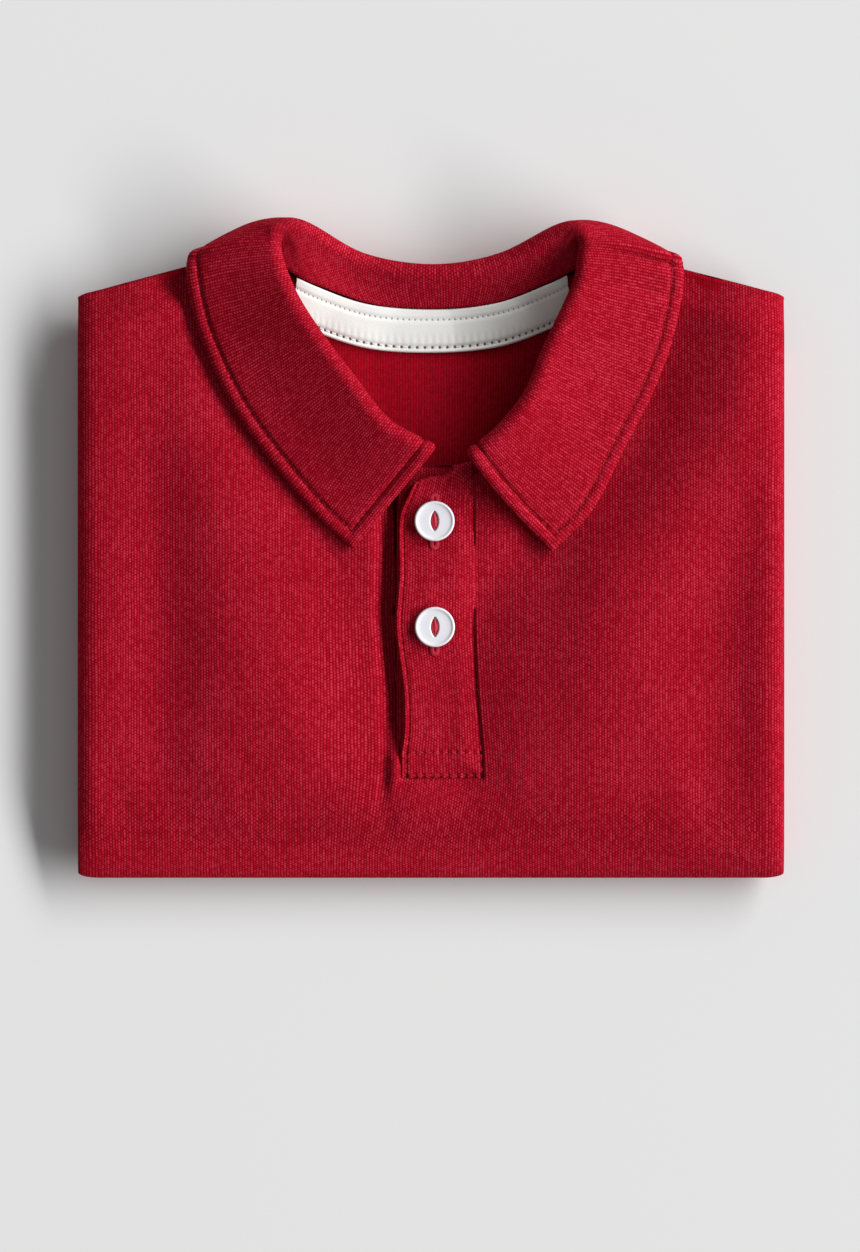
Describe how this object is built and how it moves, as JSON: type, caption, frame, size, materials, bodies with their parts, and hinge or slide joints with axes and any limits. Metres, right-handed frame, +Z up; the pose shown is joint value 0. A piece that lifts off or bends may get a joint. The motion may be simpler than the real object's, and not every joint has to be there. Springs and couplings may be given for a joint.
{
  "type": "folded long-sleeve polo shirt",
  "caption": "Child's long-sleeve polo shirt folded flat for a shelf, with a turned-down collar, a taped neck opening and a short buttoned placket on top.",
  "frame": {"origin": "centre of the bounding box on the surface the folded shirt lies on", "axes": "+X across the shirt to the viewer's right, +Y towards the collar, +Z up out of the front"},
  "size_m": [0.22, 0.2055, 0.0239],
  "materials": {
    "red_jersey": "matte fine knit",
    "white_twill": "matte woven tape",
    "white_button": "glossy"
  },
  "bodies": {
    "root": {"front_panel": "red_jersey", "back_panel": "red_jersey", "folded_layers": "red_jersey", "upper_collar": "red_jersey", "under_collar": "red_jersey", "neck_tape": "white_twill", "placket": "red_jersey", "placket_underlap": "red_jersey", "button_upper": "white_button", "button_lower": "white_button"}
  },
  "joints": []
}
